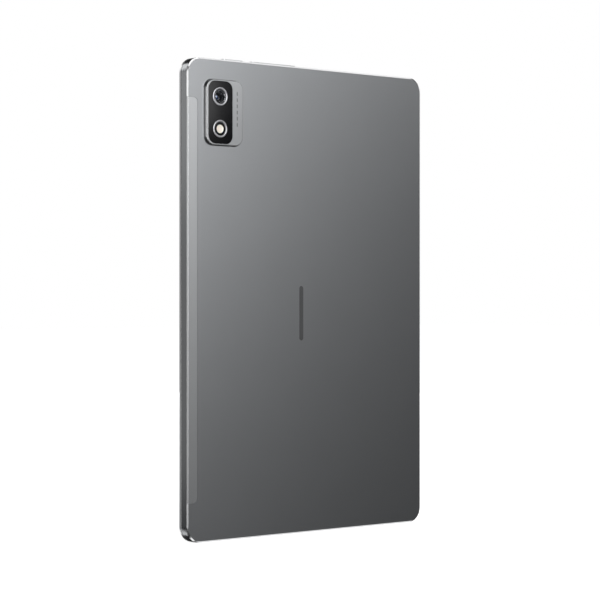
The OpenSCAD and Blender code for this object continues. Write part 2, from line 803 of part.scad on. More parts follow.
module key_bracket() {
    z0 = pivot_z - 1.8;
    color("lightgray") difference() {
        union() {
            slab(4.6, 57.4, z0, z0 + 0.5, y_axis - 1.2, y_axis + 1.85);
            for (x = [5.3, 39.45, 56.7])
                slab(x - 0.7, x + 0.7, z0, z_wall, y_axis - 1.2, y_axis + 1.85);
            for (s = [-1, 1])
                slab(volume_x - 1.6, volume_x + 1.6, z0, pivot_z + 0.9,
                     y_axis + s * 1.05 - 0.15, y_axis + s * 1.05 + 0.15);
        }
        rod_y(volume_x, pivot_z, y_axis - 2, y_axis + 2, pivot_r);
    }
}

// Flexible circuit with one dome switch under the power key and two under the volume key
module key_flex() {
    z0 = pivot_z - 1.3;
    color("darkorange") difference() {
        slab(6.2, 38.6, z0, z0 + 0.15, y_axis - 0.85, y_axis + 0.85);
        slab(volume_x - 2, volume_x + 2, z0 - 1, z0 + 1, y_axis - 0.6, y_axis + 0.6);
    }
    color("darkorange") slab(40.3, 55.8, z0, z0 + 0.15, y_axis - 0.85, y_axis + 0.85);
    color("silver") for (x = switch_x) {
        slab(x - 1.5, x + 1.5, z0 + 0.15, z0 + 1.2, y_axis - 1, y_axis + 1);
        rod_z(x, y_axis, z0 + 1.2, z0 + 1.4, 0.9);
    }
}

module power_key() {
    z_flange = z_wall - 0.15;
    color([0.5, 0.51, 0.52]) {
        bar_z(z_flange, body_h + key_rise, power_x, y_axis, power_len, key_t, key_t / 2 - 0.01);
        slab(power_x - power_len / 2 - 0.7, power_x + power_len / 2 + 0.7, z_flange - 0.7,
             z_flange, y_axis - key_t / 2, y_axis + key_t / 2);
        rod_z(power_x, y_axis, z_flange - 1.1, z_flange - 0.7, 0.8);
    }
}

// Rocker on a pin: one cap, a retaining flange and an ear at its middle, a nub near each end
module volume_key() {
    z_flange = z_wall - 0.15;
    color([0.5, 0.51, 0.52]) difference() {
        union() {
            bar_z(z_flange - 0.4, body_h + key_rise, volume_x, y_axis, volume_len, key_t,
                  key_t / 2 - 0.01);
            slab(volume_x - 4, volume_x + 4, z_flange - 0.6, z_flange, y_axis - key_t / 2 - 0.4,
                 y_axis + key_t / 2 + 0.4);
            slab(volume_x - 1.5, volume_x + 1.5, pivot_z - 1, z_flange, y_axis - 0.7,
                 y_axis + 0.7);
            for (s = [-1, 1])
                rod_z(volume_x + s * nub_offset, y_axis, z_flange - 1.1, z_flange - 0.4, 0.8);
        }
        rod_y(volume_x, pivot_z, y_axis - 2, y_axis + 2, pivot_r + 0.05);
    }
}

module volume_pivot_pin() {
    color("silver") rod_y(volume_x, pivot_z, y_axis - 1.2, y_axis + 1.2, pivot_r);
}

// ---- Card tray and ejector ----

// Steel shell with a channel for the tray, one for the rod and a bay for the lever
module card_reader() {
    x0 = -half_w + 1.8;
    color("lightgray") {
        difference() {
            slab(x0, reader_x1, tray_z - 7.6, eject_z + 1.4, y_parts, y_parts + 1.6);
            slab(x0 - 1, lever_x - 2, tray_z - tray_w / 2 - 0.2, tray_z + tray_w / 2 + 0.2,
                 y_tray - 0.15, y_tray + tray_t + 0.15);
            slab(x0 - 1, lever_x - 2, eject_z - 0.8, eject_z + 0.8, y_tray - 0.15,
                 y_tray + tray_t + 0.15);
            slab(lever_x - 3, reader_x1 - 0.4, tray_z - tray_w / 2 - 0.2, eject_z + 0.8,
                 y_tray - 0.15, y_tray + tray_t + 0.15);
        }
        rod_y(lever_x, lever_z, y_tray - 0.15, y_tray + tray_t + 0.15, 0.5);
    }
}

module card_tray() {
    x0 = -half_w + wall_t;
    color([0.42, 0.43, 0.44]) difference() {
        union() {
            bar_x(-half_w + 0.06, x0, tray_z, y_axis, tray_face_w, tray_face_t,
                  tray_face_t / 2 - 0.01);
            slab(x0, tray_end, tray_z - tray_w / 2, tray_z + tray_w / 2, y_tray,
                 y_tray + tray_t, 0.8);
        }
        slab(x0 + 1.2, x0 + 13.6, tray_z - 4.4, tray_z + 4.4, y_tray - 1, y_tray + 2, 0.5);
        slab(x0 + 14.6, x0 + 28.7, tray_z - 5.2, tray_z + 5.2, y_tray + 0.25, y_tray + 2, 0.5);
    }
}

module eject_rod() {
    color("silver") slab(-half_w + 1.5, lever_x - 0.9, eject_z - 0.5, eject_z + 0.5, y_tray + 0.1,
                         y_tray + 0.8);
}

module eject_lever() {
    color("silver") difference() {
        slab(lever_x - 0.8, lever_x + 0.8, lever_z - 6.2, lever_z + 5.9, y_tray + 0.1,
             y_tray + 0.8, 0.3);
        rod_y(lever_x, lever_z, y_tray - 1, y_tray + 2, 0.55);
    }
}

cover_glass();
display_adhesive();
display_panel();
light_guide();
backlight_tray();
display_flex();
mid_frame();
rear_cover();
antenna_window();
side_antenna();
antenna_cable();
camera_island();
camera_window();
camera_ring();
camera_lens_cover();
flash_ring();
flash_diffuser();
flash_led();
camera_housing();
camera_barrel();
camera_lenses();
camera_board();
front_camera();
light_sensor();
battery_cell_left();
battery_cell_right();
battery_board();
battery_flex();
battery_adhesive();
mainboard();
processor();
memory_chips();
power_chips();
shield_processor();
shield_power();
thermal_pad();
graphite_sheet();
board_screws();
sub_board();
usb_shell();
usb_tongue();
headphone_jack();
main_flex();
speaker_left();
speaker_right();
speaker_diaphragms();
speaker_meshes();
microphones();
key_bracket();
key_flex();
power_key();
volume_key();
volume_pivot_pin();
card_reader();
card_tray();
eject_rod();
eject_lever();
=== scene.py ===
import json
import math

import bmesh
import bpy
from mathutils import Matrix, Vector


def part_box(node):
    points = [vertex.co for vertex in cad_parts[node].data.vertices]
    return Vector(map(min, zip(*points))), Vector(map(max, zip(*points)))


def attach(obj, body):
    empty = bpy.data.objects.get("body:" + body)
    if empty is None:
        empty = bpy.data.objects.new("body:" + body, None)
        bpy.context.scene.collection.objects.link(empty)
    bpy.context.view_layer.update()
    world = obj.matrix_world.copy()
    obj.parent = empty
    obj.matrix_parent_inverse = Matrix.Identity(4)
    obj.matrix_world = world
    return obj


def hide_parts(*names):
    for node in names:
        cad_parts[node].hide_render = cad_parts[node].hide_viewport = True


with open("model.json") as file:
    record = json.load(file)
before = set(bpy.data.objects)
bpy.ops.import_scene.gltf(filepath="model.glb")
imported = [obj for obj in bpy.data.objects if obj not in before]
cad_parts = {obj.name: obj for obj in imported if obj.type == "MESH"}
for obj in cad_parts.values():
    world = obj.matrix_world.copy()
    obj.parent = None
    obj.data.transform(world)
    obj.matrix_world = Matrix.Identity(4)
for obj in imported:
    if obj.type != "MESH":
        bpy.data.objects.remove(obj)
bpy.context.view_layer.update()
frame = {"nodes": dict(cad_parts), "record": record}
nodes = frame["nodes"]
record = frame["record"]

MM = 0.001
ROOT = "tablet"


# ---- Places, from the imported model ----

def span(node):
    """Lowest and highest corner of a CAD node, in metres."""
    low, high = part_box(node)
    return Vector(low), Vector(high)


cover_hi = span("rear_cover")[1]
glass_lo, glass_hi = span("cover_glass")
island_lo, island_hi = span("camera_island")
ring_lo, ring_hi = span("camera_ring")
flash_lo, flash_hi = span("flash_ring")
lens_lo, lens_hi = span("camera_lenses")
cover_top = cover_hi.z
half_width = cover_hi.x
back_y = cover_hi.y
LENS_X = (ring_lo.x + ring_hi.x) / 2
LENS_Z = (ring_lo.z + ring_hi.z) / 2
FLASH_Z = (flash_lo.z + flash_hi.z) / 2
LENS_RING_R = (ring_hi.x - ring_lo.x) / 2
FLASH_RING_R = (flash_hi.x - flash_lo.x) / 2
WINDOW_TOP = span("camera_window")[1].y

# Sizes that a node's box doesn't give
CORNER_RADIUS = 8.0 * MM
CHAMFER_DEPTH = 0.45 * MM
CHAMFER_RUN = 0.75 * MM
RING_WIDTH = 1.2 * MM


# ---- Materials ----

class Look:
    """One Principled material. Its textures read object coordinates, which are metres."""

    def __init__(self, name, color, rough, metallic=0.0, **sockets):
        self.material = bpy.data.materials.new(name)
        self.material.use_nodes = True
        self.tree = self.material.node_tree
        self.shader = self.tree.nodes["Principled BSDF"]
        self.color = tuple(color)
        self.rough = rough
        self.set("Base Color", (*color, 1.0))
        self.set("Roughness", rough)
        self.set("Metallic", metallic)
        for socket, value in sockets.items():
            self.set(socket.replace("_", " ").title().replace("Ior", "IOR"), value)
        self.place = self.tree.nodes.new("ShaderNodeTexCoord").outputs["Object"]
        self.height = None

    def set(self, socket, value):
        self.shader.inputs[socket].default_value = value

    def add(self, kind, inputs=(), **settings):
        node = self.tree.nodes.new(kind)
        for name, value in settings.items():
            setattr(node, name, value)
        for key, value in dict(inputs).items():
            if isinstance(value, bpy.types.NodeSocket):
                self.tree.links.new(value, node.inputs[key])
            else:
                node.inputs[key].default_value = value
        return node

    def stretched(self, stretch):
        if stretch == (1, 1, 1):
            return self.place
        return self.add("ShaderNodeMapping", {"Vector": self.place, "Scale": stretch}).outputs[0]

    def noise(self, scale, detail=2.0, stretch=(1, 1, 1)):
        return self.add("ShaderNodeTexNoise", {
            "Vector": self.stretched(stretch), "Scale": scale, "Detail": detail}).outputs["Fac"]

    def cells(self, scale):
        return self.add("ShaderNodeTexVoronoi", {
            "Vector": self.place, "Scale": scale}).outputs["Distance"]

    def wave(self, scale, direction="X", profile="SIN", distortion=0.0):
        return self.add("ShaderNodeTexWave", {
            "Vector": self.place, "Scale": scale, "Distortion": distortion},
            wave_profile=profile, bands_direction=direction).outputs["Fac"]

    def product(self, a, b):
        return self.add("ShaderNodeMath", {0: a, 1: b}, operation="MULTIPLY").outputs[0]

    def scaled(self, value, low, high, start=0.0, end=1.0):
        return self.add("ShaderNodeMapRange", {
            "Value": value, "From Min": start, "From Max": end,
            "To Min": low, "To Max": high}).outputs[0]

    def tint(self, mask, color, start=0.0, end=1.0, share=1.0):
        """Paints color where mask is high, over what is there already."""
        base = self.shader.inputs["Base Color"]
        mix = self.add("ShaderNodeMix", data_type="RGBA")
        self.tree.links.new(self.scaled(mask, 0.0, share, start, end), mix.inputs[0])
        if base.is_linked:
            self.tree.links.new(base.links[0].from_socket, mix.inputs[6])
        else:
            mix.inputs[6].default_value = (*self.color, 1.0)
        mix.inputs[7].default_value = (*color, 1.0)
        self.tree.links.new(mix.outputs[2], base)
        return self

    def mottle(self, scale, share):
        """Colour a little lighter and darker in soft patches."""
        patches = self.noise(scale, 3.0)
        dark = tuple(c * (1 - share) for c in self.color)
        light = tuple(min(1.0, c * (1 + share)) for c in self.color)
        self.tint(patches, dark, 0.5, 0.25)
        return self.tint(patches, light, 0.5, 0.75)

    def wear(self, scale, spread, stretch=(1, 1, 1)):
        """Roughness that varies by spread on both sides of its value."""
        value = self.scaled(self.noise(scale, 3.0, stretch), self.rough - spread,
                            self.rough + spread, 0.3, 0.7)
        self.tree.links.new(value, self.shader.inputs["Roughness"])
        return self

    def bump(self, height, distance, strength=1.0):
        """Adds one more layer of relief, distance in metres."""
        node = self.add("ShaderNodeBump", {
            "Height": height, "Distance": distance, "Strength": strength})
        if self.height is not None:
            self.tree.links.new(self.height, node.inputs["Normal"])
        self.height = node.outputs["Normal"]
        self.tree.links.new(self.height, self.shader.inputs["Normal"])
        return self


def slot_color(slot):
    for entry in record["materials"]:
        if entry["slot"] == slot:
            return tuple(entry["base_color"][:3])
    raise KeyError(slot)


def blasted(name, color, rough, bump=0.6e-6):
    """Satin metal, or plastic painted to match it: fine grain, faint cloudiness."""
    look = Look(name, color, rough, 1.0)
    look.mottle(35.0, 0.012)
    look.wear(700.0, 0.006)
    look.bump(look.noise(2600.0), bump)
    return look


def polished(name, color, rough):
    """Cut and polished metal with faint lines along the edge."""
    look = Look(name, color, rough, 1.0)
    look.mottle(60.0, 0.03)
    look.wear(400.0, 0.025, stretch=(1, 1, 0.05))
    look.bump(look.noise(3000.0, stretch=(1, 1, 0.02)), 0.2e-6)
    return look


def moulded(name, color, rough, grain=1800.0, bump=3e-6, patch=0.05):
    """Moulded plastic with a fine grain."""
    look = Look(name, color, rough)
    look.mottle(60.0, patch)
    look.wear(200.0, 0.05)
    look.bump(look.noise(grain, 3.0), bump)
    return look


def glassy(name, color, rough):
    """Glass with a trace of smear in its gloss."""
    look = Look(name, color, rough, 0.0, ior=1.5)
    look.mottle(25.0, 0.04)
    look.wear(18.0, rough * 0.35)
    return look


BACK_COLOR = (0.215, 0.221, 0.228)
back_look = blasted("back_anodised", BACK_COLOR, 0.36)
side_look = blasted("side_anodised", (0.26, 0.266, 0.272), 0.20, bump=0.2e-6)
chamfer_look = polished("chamfer_polished", (0.86, 0.865, 0.87), 0.20)
inner_look = blasted("cover_inner", (0.42, 0.43, 0.44), 0.45, bump=2e-6)
lip_look = blasted("lip_satin", (0.56, 0.565, 0.57), 0.3, bump=0.8e-6)
strip_look = blasted("strip_painted", (0.275, 0.28, 0.286), 0.37, bump=1e-6)
strip_edge_look = polished("strip_edge", (0.54, 0.545, 0.55), 0.24)
island_face_look = blasted("island_face", (0.31, 0.317, 0.325), 0.28, bump=0.5e-6)
island_edge_look = polished("island_edge", (0.58, 0.585, 0.59), 0.18)
island_side_look = polished("island_side", (0.30, 0.305, 0.31), 0.26)
window_look = glassy("window_black", (0.004, 0.004, 0.005), 0.08)
ring_look = polished("ring_polished", (0.25, 0.25, 0.262), 0.30)
key_look = blasted("key_anodised", (0.40, 0.41, 0.42), 0.28, bump=0.4e-6)
mark_look = moulded("mark_print", (0.035, 0.036, 0.038), 0.45, bump=0.5e-6)


def lens_cover_material():
    look = Look("lens_cover_clear", (0.93, 0.94, 0.97), 0.02, 0.0, ior=1.46)
    look.set("Transmission Weight", 1.0)
    look.bump(look.noise(500.0, 1.0), 0.05e-6)
    look.wear(900.0, 0.008)
    return look


def coated_lens_material():
    look = Look("lens_coated", (0.012, 0.016, 0.030), 0.04, 0.0, ior=1.8)
    look.set("Coat Weight", 1.0)
    look.set("Coat Roughness", 0.03)
    look.set("Coat Tint", (0.55, 0.70, 1.0, 1.0))
    look.mottle(700.0, 0.2)
    look.bump(look.noise(300.0, 1.0), 0.05e-6)
    return look


def hood_material():
    """Matt black of the hoods and stops round the lens."""
    look = Look("lens_hood_black", (0.020, 0.020, 0.022), 0.38)
    look.mottle(900.0, 0.2)
    look.bump(look.noise(4000.0, 2.0), 2e-6)
    return look


def diffuser_material():
    look = Look("flash_diffuser_warm", (0.80, 0.74, 0.66), 0.32, 0.0, ior=1.5)
    look.set("Subsurface Weight", 0.25)
    look.set("Subsurface Scale", 0.0006)
    look.set("Coat Weight", 0.6)
    look.set("Coat Roughness", 0.08)
    look.mottle(900.0, 0.05)
    look.bump(look.noise(2500.0, 2.0), 2e-6)
    return look


def screen_material(name, color, rough):
    look = glassy(name, color, rough)
    look.set("Coat Weight", 0.5)
    look.set("Coat Roughness", 0.02)
    return look


lens_cover_look = lens_cover_material()
coated_look = coated_lens_material()
hood_look = hood_material()
diffuser_look = diffuser_material()
screen_border_look = screen_material("screen_border", (0.006, 0.006, 0.007), 0.035)
screen_area_look = screen_material("screen_area", (0.011, 0.012, 0.015), 0.05)
screen_edge_look = screen_material("screen_edge", (0.010, 0.011, 0.012), 0.06)
eye_ring_look = moulded("eye_ring", (0.045, 0.045, 0.050), 0.3, bump=0.5e-6)


# Materials of the CAD pieces inside, one for each material slot of the record

def metal_sheet(slot, rough):
    look = Look(slot, slot_color(slot), rough, 1.0)
    look.mottle(80.0, 0.06)
    look.wear(300.0, 0.08, stretch=(1, 1, 0.08))
    look.bump(look.noise(1500.0, 3.0, stretch=(1, 1, 0.04)), 1.5e-6)
    return look


def circuit_board():
    look = Look("circuit_board", slot_color("circuit_board"), 0.35)
    traces = look.wave(420.0, "DIAGONAL", "SAW", 6.0)
    look.tint(traces, (0.05, 0.22, 0.13), 0.62, 0.70, 0.8)
    pads = look.cells(900.0)
    look.tint(pads, (0.62, 0.50, 0.26), 0.16, 0.10, 0.7)
    look.wear(300.0, 0.08)
    return look.bump(traces, 12e-6)


def flex_circuit():
    look = Look("flex_circuit", slot_color("flex_circuit"), 0.38)
    lines = look.wave(900.0, "X", "SIN")
    look.tint(lines, (0.78, 0.46, 0.16), 0.45, 0.55, 0.75)
    look.wear(120.0, 0.07)
    return look.bump(lines, 8e-6)


def foil_pouch():
    look = Look("battery_foil", slot_color("battery_foil"), 0.3, 1.0)
    look.mottle(22.0, 0.08)
    look.wear(60.0, 0.08)
    look.bump(look.noise(45.0, 4.0), 120e-6, 0.5)
    return look.bump(look.noise(900.0, 3.0), 6e-6)


def woven_mesh():
    look = Look("mesh_black", slot_color("mesh_black"), 0.6)
    over = look.wave(3300.0, "X")
    under = look.wave(3300.0, "Z")
    weave = look.product(over, under)
    look.tint(weave, (0.10, 0.10, 0.10), 0.3, 0.8)
    return look.bump(weave, 40e-6)


def moulded_package():
    look = moulded("chip_package", slot_color("chip_package"), 0.5, 1500.0, 5e-6, 0.12)
    look.tint(look.wave(70.0, "X", "SIN", 3.0), (0.075, 0.075, 0.08), 0.7, 1.0, 0.4)
    return look


def plain_slot(slot, rough, grain=1500.0, bump=4e-6, patch=0.08, **sockets):
    look = Look(slot, slot_color(slot), rough, 0.0, **sockets)
    look.mottle(70.0, patch)
    look.wear(220.0, min(0.06, rough * 0.4))
    look.bump(look.noise(grain, 3.0), bump)
    return look


SLOT_LOOKS = {
    "cover_glass": screen_border_look,
    "adhesive": plain_slot("adhesive", 0.7, 700.0, 20e-6),
    "panel_glass": plain_slot("panel_glass", 0.12, 300.0, 0.5e-6, 0.1),
    "light_guide": plain_slot("light_guide", 0.16, 2500.0, 6e-6, 0.03),
    "pressed_steel": metal_sheet("pressed_steel", 0.34),
    "flex_circuit": flex_circuit(),
    "frame_plastic": lip_look,
    "housing_aluminium": back_look,
    "strip_plastic": strip_look,
    "antenna_metal": metal_sheet("antenna_metal", 0.28),
    "cable_jacket": plain_slot("cable_jacket", 0.55, 900.0, 10e-6),
    "island_aluminium": island_face_look,
    "window_glass": window_look,
    "trim_ring": ring_look,
    "lens_glass": coated_look,
    "diffuser": diffuser_look,
    "led": plain_slot("led", 0.45, 2600.0, 12e-6, 0.1),
    "module_black": plain_slot("module_black", 0.4, 1900.0, 5e-6, 0.15),
    "battery_foil": foil_pouch(),
    "adhesive_strip": plain_slot("adhesive_strip", 0.65, 350.0, 25e-6),
    "circuit_board": circuit_board(),
    "chip_package": moulded_package(),
    "graphite": plain_slot("graphite", 0.42, 1200.0, 10e-6, 0.15),
    "thermal_pad": plain_slot("thermal_pad", 0.7, 500.0, 30e-6),
    "screw_steel": metal_sheet("screw_steel", 0.3),
    "port_steel": metal_sheet("port_steel", 0.24),
    "speaker_plastic": plain_slot("speaker_plastic", 0.45, 1400.0, 6e-6, 0.15),
    "diaphragm": plain_slot("diaphragm", 0.3, 600.0, 15e-6),
    "mesh_black": woven_mesh(),
    "key_aluminium": key_look,
}

for part in record["subparts"]:
    target = nodes[part["node"]]
    surface = SLOT_LOOKS[part["material_slot"]].material
    target.data.materials.clear()
    target.data.materials.append(surface)


# ---- Building pieces ----

def new_object(name, mesh, looks):
    for look in looks:
        mesh.materials.append(look.material)
    made = bpy.data.objects.new(name, mesh)
    bpy.context.scene.collection.objects.link(made)
    return made


def finish_piece(piece, body, slot, *replaced):
    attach(piece, body)
    if replaced:
        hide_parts(*replaced)
    return piece


BEVEL_ANGLE = math.radians(32.0)
SMOOTH_ANGLE = math.radians(24.0)
LATHE_ANGLE = math.radians(34.0)
FLAT_ANGLE = math.radians(0.3)
WELD = 1e-6


def soften(piece, width):
    """Rounds the sharp edges of a piece and keeps its flat faces flat in the light."""
    bevel = piece.modifiers.new("edges", "BEVEL")
    bevel.width = width
    bevel.segments = 2
    bevel.limit_method = "ANGLE"
    bevel.angle_limit = BEVEL_ANGLE
    bevel.use_clamp_overlap = True
    weighted = piece.modifiers.new("normals", "WEIGHTED_NORMAL")
    weighted.keep_sharp = True
    weighted.weight = 80


def copy_of(node, name, looks, choose=None, bevel=0.0):
    """New piece on a CAD node's shape, welded, with smooth curves and rounded edges.
    choose gives the number of the look for a face's middle and normal."""
    mesh = bpy.data.meshes.new(name)
    work = bmesh.new()
    work.from_mesh(nodes[node].data)
    bmesh.ops.remove_doubles(work, verts=work.verts, dist=WELD)
    bmesh.ops.dissolve_degenerate(work, edges=work.edges, dist=WELD)
    bmesh.ops.dissolve_limit(work, angle_limit=FLAT_ANGLE, verts=work.verts,
                             edges=work.edges, delimit={"NORMAL"})
    for face in work.faces:
        face.smooth = True
        face.material_index = choose(face.calc_center_median(), face.normal) if choose else 0
    work.to_mesh(mesh)
    work.free()
    mesh.set_sharp_from_angle(angle=SMOOTH_ANGLE)
    made = new_object(name, mesh, looks)
    if bevel:
        soften(made, bevel)
    return made


def lathe(name, looks, profile, centre_z, segments=96):
    """Closed ring or disc round the axis along Y through the lens column.
    The profile is a closed list of (radius, y, look number); radius 0 closes on the axis."""
    mesh = bpy.data.meshes.new(name)
    work = bmesh.new()
    rings = []
    for radius, y, _ in profile:
        if radius == 0:
            rings.append([work.verts.new((LENS_X, y, centre_z))] * segments)
            continue
        rings.append([work.verts.new((LENS_X + radius * math.cos(math.tau * k / segments), y,
                                      centre_z + radius * math.sin(math.tau * k / segments)))
                      for k in range(segments)])
    closed = profile[0][0] != 0
    for i in range(len(profile) if closed else len(profile) - 1):
        here, there = rings[i], rings[(i + 1) % len(profile)]
        for k in range(segments):
            n = (k + 1) % segments
            corners = []
            for vert in (here[k], here[n], there[n], there[k]):
                if vert not in corners:
                    corners.append(vert)
            if len(corners) > 2:
                face = work.faces.new(corners)
                face.smooth = True
                face.material_index = profile[i][2]
    bmesh.ops.recalc_face_normals(work, faces=work.faces)
    work.to_mesh(mesh)
    work.free()
    mesh.set_sharp_from_angle(angle=LATHE_ANGLE)
    return new_object(name, mesh, looks)


def outline(width, height, radius, steps=20):
    """Points round a rounded rectangle, from the middle of its right side."""
    points = []
    for sx, sz, first in ((1, 1, 0), (-1, 1, 90), (-1, -1, 180), (1, -1, 270)):
        for k in range(steps + 1):
            turn = math.radians(first + 90 * k / steps)
            points.append((sx * (width / 2 - radius) + radius * math.cos(turn),
                           sz * (height / 2 - radius) + radius * math.sin(turn)))
    return points


def loop_of(work, points, y, centre):
    return [work.verts.new((centre[0] + x, y, centre[1] + z)) for x, z in points]


def edges_of(work, loop):
    made = []
    for a, b in zip(loop, loop[1:] + loop[:1]):
        made.append(work.edges.get((a, b)) or work.edges.new((a, b)))
    return made


def circle(radius, steps=48):
    return [(radius * math.cos(math.tau * k / steps), radius * math.sin(math.tau * k / steps))
            for k in range(steps)]


# ---- Rear cover, frame and antenna window ----

def inset(point):
    """How far a point lies inside the rounded outline of the body, seen from behind."""
    x = abs(point.x) - (half_width - CORNER_RADIUS)
    z = abs(point.z - cover_top / 2) - (cover_top / 2 - CORNER_RADIUS)
    reach = math.hypot(x, z) if x > 0 and z > 0 else max(x, z)
    return CORNER_RADIUS - reach


# Limits on the Y part of a face's normal
FLAT = 0.97
UPRIGHT = 0.6
SLANTED = 0.3
RIM_SLANTED = 0.15
# Limits on where the middle of a face lies
HAIR = 0.01 * MM
WALL_BAND = 0.25 * MM
RIM_DEPTH = 0.45 * MM


def cover_face(middle, normal):
    """0 back, 1 side wall, 2 polished chamfer, 3 inside and the walls of the holes."""
    depth = inset(middle)
    if normal.y > FLAT and middle.y > back_y - HAIR:
        return 0
    if SLANTED < normal.y < FLAT and depth < CHAMFER_RUN and middle.y > back_y - CHAMFER_DEPTH:
        return 2
    if abs(normal.y) < UPRIGHT and abs(depth) < WALL_BAND:
        outward = Vector((middle.x, 0, middle.z - cover_top / 2)).dot(normal)
        if outward > 0:
            return 1
    return 3


cover = copy_of("rear_cover", "cover_shell",
                [back_look, side_look, chamfer_look, inner_look], cover_face,
                bevel=0.05 * MM)
finish_piece(cover, ROOT, "housing_aluminium", "rear_cover")


STRIP_EDGE = CHAMFER_RUN * 1.1


def strip_face(middle, normal):
    """0 face and hidden sides, 1 the chamfer along the outer edge."""
    return 1 if SLANTED < normal.y < FLAT and middle.x > half_width - STRIP_EDGE else 0


strip = copy_of("antenna_window", "antenna_strip", [strip_look, strip_edge_look], strip_face,
                bevel=0.06 * MM)
finish_piece(strip, ROOT, "strip_plastic", "antenna_window")

frame_piece = copy_of("mid_frame", "frame_moulding", [lip_look], bevel=0.05 * MM)
finish_piece(frame_piece, ROOT, "frame_plastic", "mid_frame")


# ---- Screen glass ----

PICTURE_HALF_WIDTH = 68.0 * MM
PICTURE_HALF_HEIGHT = 108.75 * MM
EYE_X = 73.9 * MM
EYE_RING_R = 1.55 * MM
EYE_R = 1.05 * MM
SENSOR_R = 0.9 * MM
SENSOR_ABOVE_EYE = 13 * MM


def screen_glass():
    """Cover glass with a rounded front edge, a black border, the dark picture area, and the
    front camera's eye and the light sensor's window in the border."""
    width, height = glass_hi.x - glass_lo.x, glass_hi.z - glass_lo.z
    radius = 6.8 * MM
    edge_round = 0.45 * MM
    back_ease = 0.08 * MM
    centre = (0.0, (glass_lo.z + glass_hi.z) / 2)
    work = bmesh.new()
    steps = 8
    profile = [(edge_round * (1 - math.sin(math.pi / 2 * i / steps)),
                glass_lo.y + edge_round * (1 - math.cos(math.pi / 2 * i / steps)))
               for i in range(steps + 1)]
    profile.append((0.0, glass_hi.y - back_ease))
    profile.append((back_ease, glass_hi.y))
    loops = [loop_of(work, outline(width - 2 * inward, height - 2 * inward, radius - inward), y,
                     centre) for inward, y in profile]
    for here, there in zip(loops, loops[1:]):
        for k in range(len(here)):
            n = (k + 1) % len(here)
            face = work.faces.new((here[k], here[n], there[n], there[k]))
            face.smooth = True
            face.material_index = 2
    back = work.faces.new(loops[-1])
    back.material_index = 0
    corners = [(sx * PICTURE_HALF_WIDTH, sz * PICTURE_HALF_HEIGHT)
               for sx, sz in ((1, 1), (-1, 1), (-1, -1), (1, -1))]
    area = loop_of(work, corners, glass_lo.y, centre)
    eye = (EYE_X, centre[1])
    sensor = (EYE_X, centre[1] + SENSOR_ABOVE_EYE)
    rings = [loop_of(work, circle(EYE_RING_R), glass_lo.y, eye),
             loop_of(work, circle(EYE_R), glass_lo.y, eye),
             loop_of(work, circle(SENSOR_R), glass_lo.y, sensor)]
    border = edges_of(work, loops[0])
    for loop in (area, rings[0], rings[2]):
        border += edges_of(work, loop)
    bmesh.ops.triangle_fill(work, use_beauty=True, edges=border, normal=(0, -1, 0))
    area_face = work.faces.get(area) or work.faces.new(area)
    area_face.material_index = 1
    for k in range(len(rings[0])):
        n = (k + 1) % len(rings[0])
        face = work.faces.new((rings[0][k], rings[0][n], rings[1][n], rings[1][k]))
        face.material_index = 3
    work.faces.new(rings[1]).material_index = 4
    sensor_face = work.faces.get(rings[2]) or work.faces.new(rings[2])
    sensor_face.material_index = 5
    bmesh.ops.recalc_face_normals(work, faces=work.faces)
    mesh = bpy.data.meshes.new("screen_glass")
    work.to_mesh(mesh)
    work.free()
    sensor_look = screen_material("sensor_tint", (0.030, 0.008, 0.012), 0.06)
    made = new_object("screen_glass", mesh, [screen_border_look, screen_area_look,
                                             screen_edge_look, eye_ring_look, coated_look,
                                             sensor_look])
    mesh.set_sharp_from_angle(angle=SMOOTH_ANGLE)
    weighted = made.modifiers.new("normals", "WEIGHTED_NORMAL")
    weighted.keep_sharp = True
    return made


finish_piece(screen_glass(), ROOT, "cover_glass", "cover_glass")


# ---- Camera island ----

def island_part(middle, normal):
    """0 face, 1 polished rim, 2 side walls, 3 hidden inside."""
    if middle.y > island_hi.y - HAIR and normal.y > FLAT:
        return 0
    if middle.y > island_hi.y - RIM_DEPTH and RIM_SLANTED < normal.y < FLAT:
        return 1
    if middle.y > back_y - HAIR:
        return 2
    return 3


island = copy_of("camera_island", "island_plate",
                 [island_face_look, island_edge_look, island_side_look, inner_look],
                 island_part, bevel=0.07 * MM)
finish_piece(island, ROOT, "island_aluminium", "camera_island")

window = copy_of("camera_window", "window_pane", [window_look], bevel=0.08 * MM)
finish_piece(window, ROOT, "window_glass", "camera_window")


def trim(name, outer, centre_z, foot):
    """Ring that stands in the glass with a rounded, polished collar on top."""
    neck = 3.9 * MM
    ledge = 0.12 * MM
    fullness = 0.7
    inner = outer - RING_WIDTH
    rise = ring_hi.y - WINDOW_TOP
    profile = [(inner, foot, 1), (neck, foot, 1), (neck, WINDOW_TOP, 1)]
    steps = 14
    middle = (outer + inner + ledge) / 2
    half = (outer - inner - ledge) / 2
    for k in range(steps + 1):
        turn = math.pi * k / steps
        lift = math.sin(turn) ** fullness if 0 < k < steps else 0.0
        profile.append((middle + half * math.cos(turn), WINDOW_TOP + rise * lift, 0))
    profile.append((inner, WINDOW_TOP - 0.05 * MM, 1))
    return lathe(name, [ring_look, hood_look], profile, centre_z)


lens_ring = trim("lens_trim", LENS_RING_R, LENS_Z, ring_lo.y)
finish_piece(lens_ring, ROOT, "trim_ring", "camera_ring")
flash_ring = trim("flash_trim", FLASH_RING_R, FLASH_Z, flash_lo.y)
finish_piece(flash_ring, ROOT, "trim_ring", "flash_ring")


